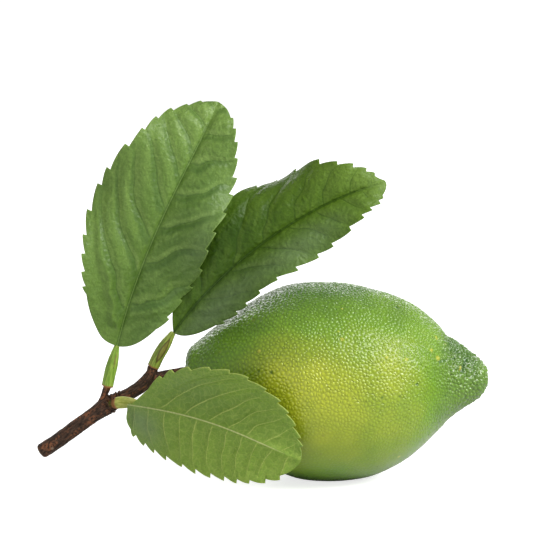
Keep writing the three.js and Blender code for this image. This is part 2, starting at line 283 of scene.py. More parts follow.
fruit = {
    "profile": [  # x, radius, rise of the middle line
        [-34.5, 0, 2.6], [-34.9, 1.9, 2.6], [-34.7, 3.9, 2.6], [-33.7, 6.1, 2.5], [-31.5, 8.2, 2.25],
        [-28.4, 11.2, 1.9], [-23.3, 15.2, 1.45], [-18.8, 18.7, 1.05], [-15, 21.25, 0.75],
        [-10.8, 23.3, 0.45], [-6.2, 24.6, 0.2], [0, 25, 0], [6, 24.65, -0.1], [11.8, 23.5, -0.2],
        [16.5, 21.8, 0.1], [20.8, 19.7, 0.45], [24.2, 17.3, 0.8], [27.3, 14.4, 1], [29.6, 12.1, 1.1],
        [31.2, 10.5, 1.1], [33, 9.1, 1.15], [35, 7.7, 1.15], [37.2, 6.1, 1], [39.2, 4.5, 0.8],
        [40.6, 2.6, 0.9], [41.2, 0, 1],
    ],
    "axisHeight": 24.55,
    "neckFold": (30.4, 1.1, 0.7),  # x, width and depth of the fold where the nipple starts, on top
    "tip": (41.2, 0, 25.55),
    "pebbles": 10900,
    "stemCalm": 0.4,  # share of the pebbles left out towards the stem, where they are larger
    "nippleCalm": 0.42,  # the same on the nipple
    "jitter": 0.5,  # how far a pebble strays, as a share of the gap between pebbles
    "flank": (0.5, 0.64),  # where a pebble's flank lies between its top and its valleys, from and to
    "pebbleSizes": (0.5, 1.4), "valleySizes": (0.7, 1.3),
    "relief": 0.14,  # height of a pebble over the valleys round it
    "calmRelief": 0.028,  # the same on the smooth underside
    "seed": 4,
    "ripeness": 0.32,
    "ripeAndPaintedLight": [  # yellow patches, two of them painted light where the lower leaf shades the peel: middle, reach and strength
        ((4, -23, 18), (24, 26, 14), 0.37), ((-14, -19, 22), (12, 14, 12), 0.32),
        ((12, -21, 32), (20, 18, 9), 0.28), ((-4, 25, 22), (15, 14, 14), 0.45),
        # painted light: these two lighten the peel where the lower leaf shades it
        ((-10, -22, 26), (12, 12, 10), 0.12), ((-11, -22, 25), (6, 8, 9), 0.3),
        ((-4, -22, 32), (12, 8, 5), 0.14),
    ],
    "deep": [  # darker green
        ((38, -3, 31), (8, 9, 8), 0.14), ((40, 0, 20), (6, 10, 8), 0.12), ((31, -9, 22), (7, 9, 9), 0.1),
        ((-28, -6, 32), (12, 22, 14), 0.2), ((-2, -6, 50), (26, 16, 8), 0.4), ((2, 4, 0), (30, 26, 6), 0.3),
        ((35, -2, 34), (7, 6, 3.5), 0.5), ((26, -14, 28), (8, 10, 10), 0.2),
        ((30, -8, 17), (5, 8, 4), 0.25),
    ],
    "pores": [  # middle and reach
        ((22.3, -18.5, 27.2), 0.42), ((13.6, -22.9, 24.8), 0.36), ((17.8, -21.1, 24.8), 0.3),
        ((-13.4, -21.4, 30.7), 0.5), ((-16.5, -19.6, 30.6), 0.32), ((33, -5.1, 33.3), 0.6),
    ],
    "poreDepth": 0.2,
    "specks": [  # pale yellow
        ((26, -12.7, 34.6), 0.5), ((27.7, -12.1, 32.6), 0.65), ((33.7, -7.8, 29.4), 0.6),
        ((27.5, -8.3, 37.1), 0.5), ((19.6, -18.4, 33.4), 0.4), ((30.1, -6.4, 35.3), 0.4),
    ],
    "scattered": {"pores": 8, "specks": 12, "brown": 40, "reach": (0.2, 0.5)},  # marks anywhere on the peel
    "dents": [  # middle, reach and depth
        ((33, -5.1, 33.3), 1.1, 0.5), ((34.9, -6.8, 29.6), 0.9, 0.4), ((29.6, -9.2, 33.6), 1.5, 0.35),
    ],
    "wrinkles": [  # ends, width and depth; each groove also gets painted shade in the pores' dark colour
        ((28, -12.3, 31.7), (32.4, -7.3, 31.9), 0.35, 0.25),
        ((35.2, -5.1, 31.2), (34.2, -7.8, 28.6), 0.55, 0.5),
        ((29.4, -9.6, 34), (31.5, -6.3, 33.9), 0.5, 0.3),
    ],
    "smooth": [((-26, -15, 27), (13, 14, 10), 0.7)],  # where the pebbles stand lower
    "coarse": [  # and where they stand higher
        ((36, -6, 29), (7, 9, 7), 1.9), ((30.5, -10.9, 27.4), (3, 4, 3), 1.0),
        ((26, -14, 33), (5, 6, 4), 0.5),
    ],
    "dull": [((25.5, -14, 27), (5, 9, 8), 0.75), ((20, -12, 40), (12, 9, 8), 0.42)],  # less shine
    "look": {
        "deepGreen": colour(64, 106, 22), "green": colour(112, 154, 26), "lively": colour(150, 170, 30),
        "yellow": colour(188, 196, 38), "cool": colour(72, 120, 34), "valleyShade": 0.23,
        "roughness": 0.5, "specular": 0.2, "coatRoughness": 0.18,
        "cloudiness": 0.16, "coolness": 0.55, "liveliness": 0.12,
    },
    "marks": {  # colour, and how much of it shows
        "speck": (colour(204, 196, 60), 0.55), "brown": (colour(122, 122, 46), 0.4),
        "poreAndCreaseShade": (colour(40, 88, 10), 0.7), "scar": (colour(150, 128, 84), 0.8),
    },
}


def blobs(points, patches):
    # Soft patches: the strength of each falls off as a Gaussian of the distance from its middle.
    total = np.zeros(len(points))
    for middle, reach, strength in patches:
        total += strength * np.exp(-np.sum(((points - middle) / reach) ** 2, axis=1))
    return total


def fruitSurface(station, angle):
    # A profile turned about the x axis: y is the radius times the sine of the angle, and z the axis height
    # plus the rise plus the radius times its cosine. The fold takes a Gaussian off it where it faces up.
    x, radius, rise = (np.interp(station, walked, column) for column in outline.T)
    foldAt, foldWidth, foldDepth = fruit["neckFold"]
    upward = np.maximum(0, np.cos(angle))
    radius = np.maximum(radius - foldDepth * upward * np.exp(-((x - foldAt) / foldWidth) ** 2), 0)
    height = fruit["axisHeight"] + rise + radius * np.cos(angle)
    return np.stack([x, radius * np.sin(angle), height], axis=-1)


def fruitNormal(station, angle):
    # Square to two short steps over the surface, one along the fruit and one round it.
    step, turn = 0.05, 0.01
    before, after = np.maximum(station - step, 0), np.minimum(station + step, walked[-1])
    along = fruitSurface(after, angle) - fruitSurface(before, angle)
    sideways = fruitSurface(station, angle + turn) - fruitSurface(station, angle - turn)
    normal = np.cross(along, sideways)
    return normal / np.maximum(np.linalg.norm(normal, axis=1, keepdims=True), 1e-12)


# The outline, how far along it each point is, how many pebbles each stretch has room for, and where it
# lies on a ball that keeps the peel's angles, as a sea chart does
outline = smoothPath(fruit["profile"], np.linspace(0, 1, 20001))
outline[[0, -1], 1] = 0
hops = np.linalg.norm(np.diff(outline[:, :2], axis=0), axis=1)
walked = np.concatenate([[0], np.cumsum(hops)])
middleRadius = (outline[1:, 1] + outline[:-1, 1]) / 2
crowding = 1 - fruit["stemCalm"] * np.clip((-8 - outline[1:, 0]) / 12, 0, 1)
crowding -= fruit["nippleCalm"] * np.clip((outline[1:, 0] - 30) / 4, 0, 1)
areaTo = np.concatenate([[0], np.cumsum(2 * math.pi * middleRadius * hops * crowding)])
latitude = np.concatenate([[0], np.cumsum(hops / np.maximum(middleRadius, 0.01))])
latitude -= np.interp(walked[-1] / 2, walked, latitude)

# Pebbles: a spiral of the golden angle with equal area for each pebble, each strayed a little
random = np.random.default_rng(fruit["seed"])
count = fruit["pebbles"]
spacing = math.sqrt(areaTo[-1] / count)
station = np.interp((np.arange(count) + 0.5) / count * areaTo[-1], areaTo, walked)
angle = np.arange(count) * math.pi * (3 - math.sqrt(5))
stray = random.uniform(-1, 1, (2, count)) * fruit["jitter"] * spacing
endRoom = 0.25
station = np.clip(station + stray[0], endRoom, walked[-1] - endRoom)
angle = angle + stray[1] / np.maximum(np.interp(station, walked, outline[:, 1]), 1.2)
turned = np.interp(station, walked, latitude)
wide = np.cosh(turned)
onBall = np.stack([np.cos(angle) / wide, np.sin(angle) / wide, np.tanh(turned)], axis=1)

# The triangles between the pebbles' tops are the convex hull of their places on that ball
ballMesh = bpy.data.meshes.new("ball")
ballMesh.from_pydata(onBall, [], [])
ball = bmesh.new()
ball.from_mesh(ballMesh)
bmesh.ops.convex_hull(ball, input=ball.verts)
ball.to_mesh(ballMesh)
ball.free()
corners = np.zeros(len(ballMesh.loops), np.int32)
ballMesh.loops.foreach_get("vertex_index", corners)
triangles = corners.reshape(-1, 3)
bpy.data.meshes.remove(ballMesh)
print(f"peel: {count} pebbles with {len(triangles)} valleys between them")

# Round each pebble's top goes a ring of flank points, one towards each valley where three pebbles meet
tops, lean = fruitSurface(station, angle), fruitNormal(station, angle)


def swelling(first, second):
    # How much the round surface bulges over the straight line between two points, times eight.
    return np.sum((lean[second] - lean[first]) * (tops[second] - tops[first]), axis=1)


a, b, c = triangles.T
faceLean = unit(lean[triangles].mean(axis=1))
rise = (swelling(a, b) + swelling(b, c) + swelling(c, a))[:, None] / 18
valleys = tops[triangles].mean(axis=1) + faceLean * rise
reachOut = random.uniform(*fruit["flank"], count)[triangles][..., None]
rings = tops[triangles] * (1 - reachOut) + valleys[:, None] * reachOut
rings = (rings + faceLean[:, None] * (rise / 4)[:, None]).reshape(-1, 3)
ringLean = unit(lean[triangles] * (1 - reachOut) + faceLean[:, None] * reachOut).reshape(-1, 3)
base = np.concatenate([tops, rings, valleys])
normals = np.concatenate([lean, ringLean, faceLean])
level = np.concatenate([np.ones(count), np.full(len(rings), 0.25), np.full(len(triangles), -1.0)])

# Faces: each side of each triangle has a twin, running the other way, in the triangle beyond it
starts, ends = triangles.ravel(), np.roll(triangles, -1, axis=1).ravel()
pair = np.minimum(starts, ends).astype(np.int64) * count + np.maximum(starts, ends)
order = np.argsort(pair, kind="stable")
twin = np.empty(len(order), int)
twin[order[0::2]], twin[order[1::2]] = order[1::2], order[0::2]
sideNumber = np.arange(len(starts))
ownRing = count + sideNumber
farRing = count + 3 * (twin // 3) + (twin % 3 + 1) % 3
ownValley = count + len(rings) + sideNumber // 3
farValley = count + len(rings) + twin // 3
pebbleFaces = np.concatenate([np.stack(t, axis=1) for t in (
    (starts, ownRing, farRing), (ownRing, ownValley, farValley), (ownRing, farValley, farRing),
)])

# Heights: each pebble has its own size, and stands lower on the underside and at smooth places
pebbleSize = random.uniform(*fruit["pebbleSizes"], count)
valleySize = random.uniform(*fruit["valleySizes"], len(triangles))
size = np.concatenate([pebbleSize, pebbleSize[triangles].ravel(), valleySize])
coarse = blobs(base, fruit["coarse"])
rough = np.clip((base[:, 2] - 12 + 0.15 * base[:, 0]) / 16, 0, 1) * (1 - blobs(base, fruit["smooth"]))
rough = rough + coarse
heights = (fruit["calmRelief"] + (fruit["relief"] - fruit["calmRelief"]) * rough) * level * size
heights += 0.12 * coarse * smoothNoise(base, 2.6, 21, 2)
heights += 0.06 * smoothNoise(base, 9, 11, 2) * np.clip(base[:, 2] / 6, 0, 1)
for middle, reach, depth in fruit["dents"]:
    heights -= depth * np.exp(-np.sum((base - middle) ** 2, axis=1) / reach ** 2)


def spots(places):
    # One soft round spot for each place, 1 at its middle.
    mask = np.zeros(len(base))
    for middle, reach in places:
        mask = np.maximum(mask, np.exp(-np.sum((base - middle) ** 2, axis=1) / reach ** 2))
    return mask


scatter = fruit["scattered"]
firstSpeck, firstBrown = scatter["pores"], scatter["pores"] + scatter["specks"]
total = firstBrown + scatter["brown"]
marked = random.choice(count, total, replace=False)
scattered = list(zip(tops[marked], random.uniform(*scatter["reach"], total)))
poresAndCreases = spots(fruit["pores"] + scattered[:firstSpeck])
heights -= fruit["poreDepth"] * poresAndCreases
for start, end, wide, depth in fruit["wrinkles"]:
    start, run = np.array(start), np.subtract(end, start)
    nearest = np.clip((base - start) @ run / (run @ run), 0, 1)
    groove = np.exp(-np.sum((base - start - nearest[:, None] * run) ** 2, axis=1) / wide ** 2)
    heights -= depth * groove
    # painted shade: each wrinkle's groove also takes the pores' dark colour
    poresAndCreases = np.maximum(poresAndCreases, groove)
skin = base + normals * heights[:, None]
skin[:, 2] = np.maximum(skin[:, 2], 0)
deep = blobs(base, fruit["deep"])
ripeAndPaintedLight = fruit["ripeness"] + blobs(base, fruit["ripeAndPaintedLight"]) - 0.8 * deep + 0.07 * smoothNoise(base, 16, 5)
tipDistance = np.linalg.norm(base - fruit["tip"], axis=1)
fruitShell = {
    "points": skin,
    "faces": pebbleFaces,
    "uv": np.stack([base[:, 0], base[:, 2]], axis=1),
    "values": {
        "ripeAndPaintedLight": np.clip(ripeAndPaintedLight, 0, 1),
        "cool": np.clip(deep, 0, 1),
        # painted shade and light: the valleys between the pebbles darker and their tops a little lighter,
        # more so where the relief is higher
        "pebbleShading": 0.6 + (0.5 * level - 0.1) * (0.3 + 0.7 * rough),
        "shine": 1 - blobs(base, fruit["dull"]),
        "poreAndCreaseShade": poresAndCreases,
        "speck": spots(fruit["specks"] + scattered[firstSpeck:firstBrown]),
        "brown": spots(scattered[firstBrown:]),
        "scar": np.exp(-(tipDistance / 0.9) ** 2),
    },
}


def skinMaterial():
    # Lime peel: colour from how ripe each place is, with painted light where the lower leaf shades it,
    # painted shade in the valleys between the pebbles and a little painted light on their tops, small
    # marks, painted shade in the wrinkles, and a waxy coat
    look = fruit["look"]
    material, tree = freshMaterial("lime_peel")
    cloudy = mathNode(tree, "SUBTRACT", mottled(tree, 140.0, 1.6), 0.5)
    cloudy = scaled(tree, cloudy, look["cloudiness"])
    ripeness = mathNode(tree, "ADD", attribute(tree, "ripeAndPaintedLight"), cloudy, clamp=True)
    ramp = addNode(tree, "ValToRGB", {0: ripeness})
    stops = ramp.color_ramp.elements
    stops[0].color, stops[1].position, stops[1].color = look["deepGreen"], 1.0, look["yellow"]
    for place, name in ((0.35, "green"), (0.7, "lively")):
        stops.new(place).color = look[name]
    cool = mathNode(tree, "MULTIPLY", attribute(tree, "cool"), look["coolness"], clamp=True)
    tint = mixColour(tree, cool, ramp.outputs[0], look["cool"])
    # painted shade in the valleys between the pebbles and a little painted light on their tops
    shade = mapRange(tree, attribute(tree, "pebbleShading"), 0.0, 1.0, 1.0 - look["valleyShade"], 1.06, "LINEAR")
    grey = addNode(tree, "CombineColor", {0: shade, 1: shade, 2: shade}).outputs[0]
    tint = mixColour(tree, 1.0, tint, grey, "MULTIPLY")
    fine = mottled(tree, 1500.0, 2.0)
    tint = mixColour(tree, scaled(tree, fine, look["liveliness"]), tint, look["lively"])
    for mask, (mark, most) in fruit["marks"].items():
        tint = mixColour(tree, mapRange(tree, attribute(tree, mask), 0.1, 0.7, 0.0, most), tint, mark)
    showShader(tree, addNode(tree, "BsdfPrincipled", {
        "Base Color": tint, "Roughness": look["roughness"], "Specular IOR Level": look["specular"],
        "Coat Weight": attribute(tree, "shine"), "Coat Roughness": look["coatRoughness"],
        "Normal": bumpNode(tree, fine, 0.25, 0.0002),
    }))
    return material


buildPiece("lime_peel_skin", [fruitShell], skinMaterial(), "lime_fruit", 0.0005)

blade = {
    "thickness": 0.42,
    "puff": 0.7,  # how far the blade bulges between two side veins
    "lumps": 0.09,  # height of its slow unevenness
    "groove": 0.3,  # depth of the midrib's groove on the upper face
    "ridge": 0.24,  # height of the midrib under the blade
    "ribReach": 0.38,  # how far both reach from the midrib's line
    "sideGroove": 0.12,  # the same three for a side vein
    "sideRidge": 0.13,
    "sideReach": 0.3,
    "lag": 0.16,  # how far behind its place on the edge a row leaves the midrib, halfway along the leaf
    "flatTip": 0.15,  # the last share of the leaf, where its fold fades
    "strip": 0.3,  # width of the strip beside the foot of a bare half
    "heelAt": 0.013,
    "browAt": 0.02,
    "toothLean": 0.5,  # towards the tip, as a share of the tooth's height
    "toothTop": 0.9,  # where in its pitch a tooth is highest
    "toothFade": 0.35,  # power of the sine of a tooth's angle: teeth grow smaller towards both ends
    "toothStray": 0.14,
    "toothSizes": (0.75, 1.2),
    "toothRows": 9,
    "plainRows": 22,
    "columns": 40,
    # painted sheen: a pale grey-green standing in for the bright surroundings reflected off the blade
    "paintedSheen": colour(132, 150, 122),
    "seeThrough": 0.22,
}

# A leaf has the four points of its midrib's curve, the way it faces at its foot and at its tip, and two
# halves. A half is widest at a share of its length. Its fold and curl turn it up, in degrees, and it waves
# from a phase. Heel and brow widen it just above the foot and just below the tip, and a lobe bends it back.
# Teeth run from one angle to another with a spread; veins have a number, a shift, a slant and a bend.
# Shades are soft patches, lighter and darker ones that are partly painted light and shade where a leaf is
# lit, lit through or shaded, and a painted sheen: the middle and reach, as shares along and across, and the
# strength.
leaves = {
    "leaf_upper": {
        "rib": [[-52, -1.5, 33.9], [-45.2, -5, 61.9], [-31.7, -5, 82], [-26.7, 3, 94.7]],
        "face": [[0.1, -1, 0.05], [0.05, -1, 0.35]],
        "toothCount": 13,
        "toothDepth": 1.05,
        "left": {
            "width": 17.1, "widest": 0.45, "fullness": 0.61, "puff": 1.5, "heel": 0.8, "brow": 0.5,
            "fold": 13, "curl": -4, "wave": 10.5, "phase": -38,
            "teeth": (0.75, 2.79, 1.35), "veins": (8.2, 0.1, 0.78, 0.036),
        },
        "right": {
            "width": 13.7, "widest": 0.42, "fullness": 0.5, "brow": 0.6,
            "fold": 15, "curl": -6, "wave": 14.5, "phase": 124,
            "teeth": (0.59, 2.64, 1), "veins": (7.4, 0.0, 0.55, 0.014),
        },
        "shades": {
            "light": [((0.92, 0.3), (0.2, 0.9), 0.75), ((0.45, 0.75), (0.35, 0.3), 0.3)],
            "deep": [((0.4, -0.55), (0.3, 0.4), 0.5), ((0.15, -0.3), (0.12, 0.5), 0.3)],
            "paintedSheen": [((0.35, -0.9), (0.3, 0.25), 0.25)],
        },
        "tone": {
            "top": colour(114, 148, 58), "topDeep": colour(66, 100, 36), "pale": colour(150, 182, 92),
            "under": colour(132, 160, 84), "vein": colour(146, 178, 88), "midrib": colour(186, 196, 128),
            "paintedBanks": 0.5, "streak": 0.34, "core": 0.7, "gloss": 0.38, "glow": colour(106, 140, 56),
        },
        "seed": 3,
    },
    "leaf_middle": {
        "rib": [[-37.9, -1, 37.2], [-19.7, 0.5, 62.6], [9.2, -3, 75.3], [15.3, 2, 74]],
        "face": [[0, -0.97, 0.26], [0, -0.97, 0.26]],
        "toothCount": 13,
        "toothDepth": 1.1,
        "left": {
            "width": 13.7, "widest": 0.4, "fullness": 0.92, "brow": 0.9,
            "fold": 23, "curl": -31, "wave": -22, "phase": 74,
            "teeth": (0.58, 2.5, 1.05), "veins": (8.2, 0.0, 0.7, 0.03),
        },
        "right": {
            "width": 10.8, "widest": 0.36, "fullness": 0.48, "brow": 0.5,
            "fold": 23.5, "curl": -4, "wave": -11.5, "phase": 54,
            "teeth": (0.62, 2.6, 1.2), "veins": (8.8, 0.0, 0.7, 0.03),
        },
        "shades": {
            "light": [((0.92, 0.1), (0.22, 1.2), 1.0), ((0.7, 0.7), (0.2, 0.3), 0.3)],
            "deep": [((0.26, 0.5), (0.24, 0.6), 1.0)],
            "paintedSheen": [
                ((0.12, -0.55), (0.16, 0.5), 0.6), ((0.45, -0.7), (0.2, 0.35), 0.5),
                ((0.92, 0), (0.12, 1), 0.2),
            ],
        },
        "tone": {
            "top": colour(95, 128, 29), "topDeep": colour(44, 76, 4), "pale": colour(132, 164, 64),
            "under": colour(132, 160, 84), "vein": colour(112, 146, 48), "midrib": colour(186, 196, 128),
            "paintedBanks": 0.16, "streak": 0.26, "core": 0.1, "gloss": 0.24, "glow": colour(82, 114, 26),
        },
        "seed": 7,
    },
    "leaf_lower": {
        "rib": [[-49.1, -8, 20.2], [-26.1, -22.5, 20.1], [-18.7, -26.5, 14.8], [-6.2, -26, 9.9]],
        "face": [[0.25, 1, 0.1], [0.1, 1, 0.05]],
        "toothCount": 12,
        "toothDepth": 1.2,
        "left": {
            "width": 13.2, "widest": 0.34, "fullness": 0.25, "lobe": 0.7, "brow": 0.5,
            "fold": 6, "curl": 0, "wave": 2, "phase": 69,
            "teeth": (0.2, 2.6, 1.25), "veins": (11.5, 0.2, -0.28, 0.026),
            "crowd": 0.75,  # power of the length along the midrib: under 1, veins crowd at the foot
        },
        "right": {
            "width": 15.6, "widest": 0.47, "fullness": 0.83, "brow": 0.8,
            "bare": 0.024,  # this share of the midrib has only a narrow strip beside it
            "fold": 6, "curl": -24, "wave": 2, "phase": 72,
            "teeth": (0.6, 2.75, 1), "veins": (8.2, 0.0, 0.8, 0.03),
        },
        "shades": {
            "light": [((0.5, 0.8), (0.4, 0.55), 0.72), ((0.85, 0.0), (0.2, 1.0), 0.45)],
            "deep": [((0.3, -0.3), (0.2, 0.3), 0.35)],
            "paintedSheen": [((0.04, 0.5), (0.08, 0.5), 0.9), ((0.25, -0.6), (0.15, 0.4), 0.25)],
        },
        "tone": {
            "top": colour(112, 146, 56), "topDeep": colour(80, 116, 40), "pale": colour(166, 198, 76),
            "under": colour(144, 178, 67), "vein": colour(206, 222, 112), "midrib": colour(232, 238, 158),
            "paintedBanks": 0.3, "streak": 0.2, "core": 0.7, "gloss": 0.38, "glow": colour(136, 168, 66),
        },
        "seed": 12,
    },
}


def bezier(points, t):
    # A cubic Bezier curve and its unit tangent.
    a, b, c, d = np.array(points, float)
    t = t[..., None]
    place = a * (1 - t) ** 3 + 3 * b * t * (1 - t) ** 2 + 3 * c * t ** 2 * (1 - t) + d * t ** 3
    slope = (b - a) * (1 - t) ** 2 + 2 * (c - b) * t * (1 - t) + (d - c) * t ** 2
    return place, unit(slope)


def toothedEdge(leaf, half):
    # Rows across a blade, each at an angle from 0 at the foot to pi at the tip. A tooth swells as one minus
    # a power of what is left of its rise, then drops back over the rest of its pitch. Teeth are wider apart
    # towards the tip where the spread is over 1, and each strays a little.
    count, most, top = leaf["toothCount"], blade["toothStray"], blade["toothTop"]
    start, end, spread = half["teeth"]
    random = np.random.default_rng(leaf["seed"] + int(half["phase"]) % 7)
    starts = np.arange(count + 1) + np.concatenate([[0], random.uniform(-most, most, count - 1), [0]])
    starts = start + (end - start) * (starts / count) ** spread
    rise = np.linspace(0, 1, blade["toothRows"])
    fractions = np.concatenate([rise * top, [0.5 + top / 2]])
    shape = np.concatenate([1 - (1 - rise) ** 1.5, [0.45]])
    rows = (starts[:-1, None] + np.diff(starts)[:, None] * fractions).ravel()
    heights = (random.uniform(*blade["toothSizes"], count)[:, None] * shape).ravel()
    foot = np.linspace(0, start, blade["plainRows"], endpoint=False)
    tip = np.linspace(end, math.pi, blade["plainRows"])
    return np.concatenate([foot, rows, tip]), np.concatenate([foot * 0, heights, tip * 0])


def halfWidth(half, t):
    # A power of t times a power of 1 - t, matched so that the width peaks at the widest place. Heel and
    # brow each rise and fade again, as a length times the exponential of minus that length.
    bare, heelAt, browAt = half.get("bare", 0), blade["heelAt"], blade["browAt"]
    strip = blade["strip"] * np.minimum(t / 0.004, 1) * (t < 0.5) if bare else 0
    t = np.maximum((t - bare) / (1 - bare), 0)
    after = half["fullness"] * (1 - half["widest"]) / half["widest"]
    heel = half.get("heel", 0) * t / heelAt * np.exp(1 - t / heelAt)
    brow = half.get("brow", 0) * (1 - t) / browAt * np.exp(1 - (1 - t) / browAt)
    width = half["width"] * (t / half["widest"]) ** half["fullness"]
    width = width * ((1 - t) / (1 - half["widest"])) ** after
    return np.maximum(width + heel + brow, strip)


def softPatches(at, across, patches):
    # Each patch falls off as a Gaussian of how far a point is along the leaf and across it.
    total = np.zeros(at.shape)
    for middle, reach, strength in patches:
        along, aside = (at - middle[0]) / reach[0], (across - middle[1]) / reach[1]
        total += strength * np.exp(-along ** 2 - aside ** 2)
    return np.clip(total, 0, 1)


def bladeGrid(leaf, half, side, shares, top):
    # One face of one half: a row leaves the midrib behind the place where it meets the edge. A point stands
    # out from the midrib by its share of the width, turned up by the fold plus the curl and a slow wave.
    rows, tooth = toothedEdge(leaf, half)
    t, tooth = ((1 - np.cos(rows)) / 2)[:, None], tooth[:, None]
    middleT = sum((1 - np.cos(toothedEdge(leaf, leaf[name])[0])) / 4 for name in ("left", "right"))[:, None]
    foot = middleT - blade["lag"] * 4 * middleT * (1 - middleT)
    share = shares[None, :]
    ribLine, _ = bezier(leaf["rib"], np.linspace(0, 1, 400))
    length = np.sum(np.linalg.norm(np.diff(ribLine, axis=0), axis=1))

    # A tooth stands square to the edge, leans along it, and shapes only the outer rim. A lobe reaches back
    # the most where the blade is 5 mm wide.
    width, step, lean = halfWidth(half, t), 0.004, blade["toothLean"]
    gain = (halfWidth(half, np.minimum(t + step, 1)) - width) / step / length
    height = tooth * leaf["toothDepth"] * (np.maximum(np.sin(rows), 0) ** blade["toothFade"])[:, None]
    height = height / np.hypot(1, gain)
    lobe = half.get("lobe", 0) * (width / 5) ** 2 * np.exp(1 - (width / 5) ** 2)
    rim = share ** 6
    at = np.minimum(1, foot + (t - lobe / length - foot) * share + rim * height * (lean - gain) / length)
    out = share * width + rim * height * (1 + lean * gain)

    # The upward direction turns twice as fast as the blade, as on a parabola
    middle, forward = bezier(leaf["rib"], at)
    faceFoot, faceTip = np.array(leaf["face"], float)
    across = unit(np.cross(faceFoot * (1 - at[..., None]) + faceTip * at[..., None], forward))
    up = np.cross(forward, across)
    spread = out / half["width"]
    wave = half["wave"] * np.sin(4 * math.pi * at + math.radians(half["phase"]))
    fold = half["fold"] * np.clip((1 - at) / blade["flatTip"], 0, 1)
    turn = np.radians(fold + (half["curl"] + wave) * spread)
    slope = np.radians(fold + 2 * (half["curl"] + wave) * spread) * np.minimum(1, out / 0.6)
    normal = up * np.cos(slope)[..., None] - side * across * np.sin(slope)[..., None]
    point = middle + across * (side * out * np.cos(turn))[..., None] + up * (out * np.sin(turn))[..., None]

    # A side vein leaves the midrib behind its crossing of the edge and bends towards the tip on its way out
    veins, shift, slant, bend = half["veins"]
    wander = 0.15 * smoothNoise(point, 14, leaf["seed"] + 40, 2) * np.minimum(1, out / 3)
    behind = np.maximum(at - (slant * out + bend * out ** 2) / length, 0)
    vein = veins * behind ** half.get("crowd", 1) + shift + wander
    gap = np.abs((vein + 0.5) % 1 - 0.5) * length / veins * 0.7  # mm to the nearest side vein
    present = np.clip((vein - 0.4) * 4, 0, 1) * np.clip((1 - share) * 5, 0, 1) * np.clip(out / 1.2, 0, 1)

    # Between two side veins the blade arches as a power of a sine, flat again at the midrib and the edge
    arch = np.abs(np.sin(math.pi * vein)) ** 0.7 * present
    inside = np.clip(4 * share * (1 - share), 0, 1) ** 0.7
    lift = blade["puff"] * half.get("puff", 1) * arch * inside * np.minimum(1, width / 6)
    lift += blade["lumps"] * smoothNoise(point, 6.0, leaf["seed"], 2) * np.minimum(1, out / 2)
    thin = blade["thickness"] / 2 * np.sqrt(np.clip((1 - share) / 0.05, 0.1, 1))
    taper = (1 - 0.85 * at) * np.clip(8 * at + 0.35, 0, 1)
    ribShape = np.exp(-(out / blade["ribReach"]) ** 2) * taper
    sideShape = np.exp(-(gap / blade["sideReach"]) ** 2) * present * (1 - share) ** 0.5 * taper ** 0.3
    if top:
        raised = thin + lift - blade["groove"] * ribShape - blade["sideGroove"] * sideShape
    else:
        raised = -thin + lift - blade["ridge"] * ribShape - blade["sideRidge"] * sideShape
    values = {
        "under": np.full(at.shape, 0.0 if top else 1.0), "out": out, "along": at, "present": present,
        **{name: softPatches(at, side * share, patches) for name, patches in leaf["shades"].items()},
    }
    uv = np.stack([vein, side * share + np.zeros_like(vein)], axis=-1)
    return point + normal * raised[..., None], uv, values


def veinGroup():
    # Side veins are thin lines where the first coordinate is a whole number, the midrib is where the
    # distance out is near 0, and a net of cells lies between them
    outputs = ["Sides", "LitBank", "Shade", "Streaks", "Midrib", "Core", "Net", "Quilt"]
    tree, _, groupOut = nodeGroup("leafVeins", {}, outputs)
    number, across, _ = surfaceParts(tree)
    inObject = addNode(tree, "TexCoord").outputs["Object"]
    wobble = noiseNode(tree, inObject, 500.0, 2.0)
    stray = scaled(tree, mathNode(tree, "SUBTRACT", wobble[0], 0.5), 0.06)
    shifted = mathNode(tree, "ADD", mathNode(tree, "ADD", number, stray), 0.5)
    signedGap = mathNode(tree, "SUBTRACT", mathNode(tree, "FRACT", shifted), 0.5)
    lineWidth = mapRange(tree, mathNode(tree, "ABSOLUTE", across), 0.0, 1.0, 0.036, 0.016, "LINEAR")
    offLine = mathNode(tree, "DIVIDE", mathNode(tree, "ABSOLUTE", signedGap), lineWidth)
    present = attribute(tree, "present")
    masks = {"Sides": scaled(tree, mapRange(tree, offLine, 0.4, 1.3, 1.0, 0.0), present)}
    for name, offset, reach in (("LitBank", 0.11, 0.13), ("Shade", -0.13, 0.17)):  # a painted lit bank and a painted shaded bank
        away = mathNode(tree, "ABSOLUTE", mathNode(tree, "SUBTRACT", signedGap, offset))
        masks[name] = scaled(tree, mapRange(tree, away, 0.02, reach, 1.0, 0.0), present)
    drawnOut = {0: scaled(tree, number, 4.0), 1: scaled(tree, across, 2.5)}
    place = addNode(tree, "CombineXYZ", drawnOut).outputs[0]
    masks["Streaks"] = mapRange(tree, noiseNode(tree, place, 1.0, 1.0)[0], 0.38, 0.75)
    fading = mapRange(tree, attribute(tree, "along"), 0.72, 0.93, 1.0, 0.0)
    for name, near, far in (("Core", 0.08, 0.22), ("Midrib", 0.25, 0.5)):
        masks[name] = scaled(tree, mapRange(tree, attribute(tree, "out"), near, far, 1.0, 0.0), fading)
    bent = addNode(tree, "Mix", {0: 0.0012, 4: inObject, 5: wobble[1]}, data_type="VECTOR")
    cellPlace = {"Vector": bent.outputs[1], "Scale": 560.0}
    cells = addNode(tree, "TexVoronoi", cellPlace, feature="DISTANCE_TO_EDGE").outputs[0]
    masks["Net"] = mapRange(tree, cells, 0.01, 0.1, 1.0, 0.0)
    masks["Quilt"] = mapRange(tree, cells, 0.0, 0.45)
    for name, mask in masks.items():
        tree.links.new(mask, groupOut[name])
    return tree


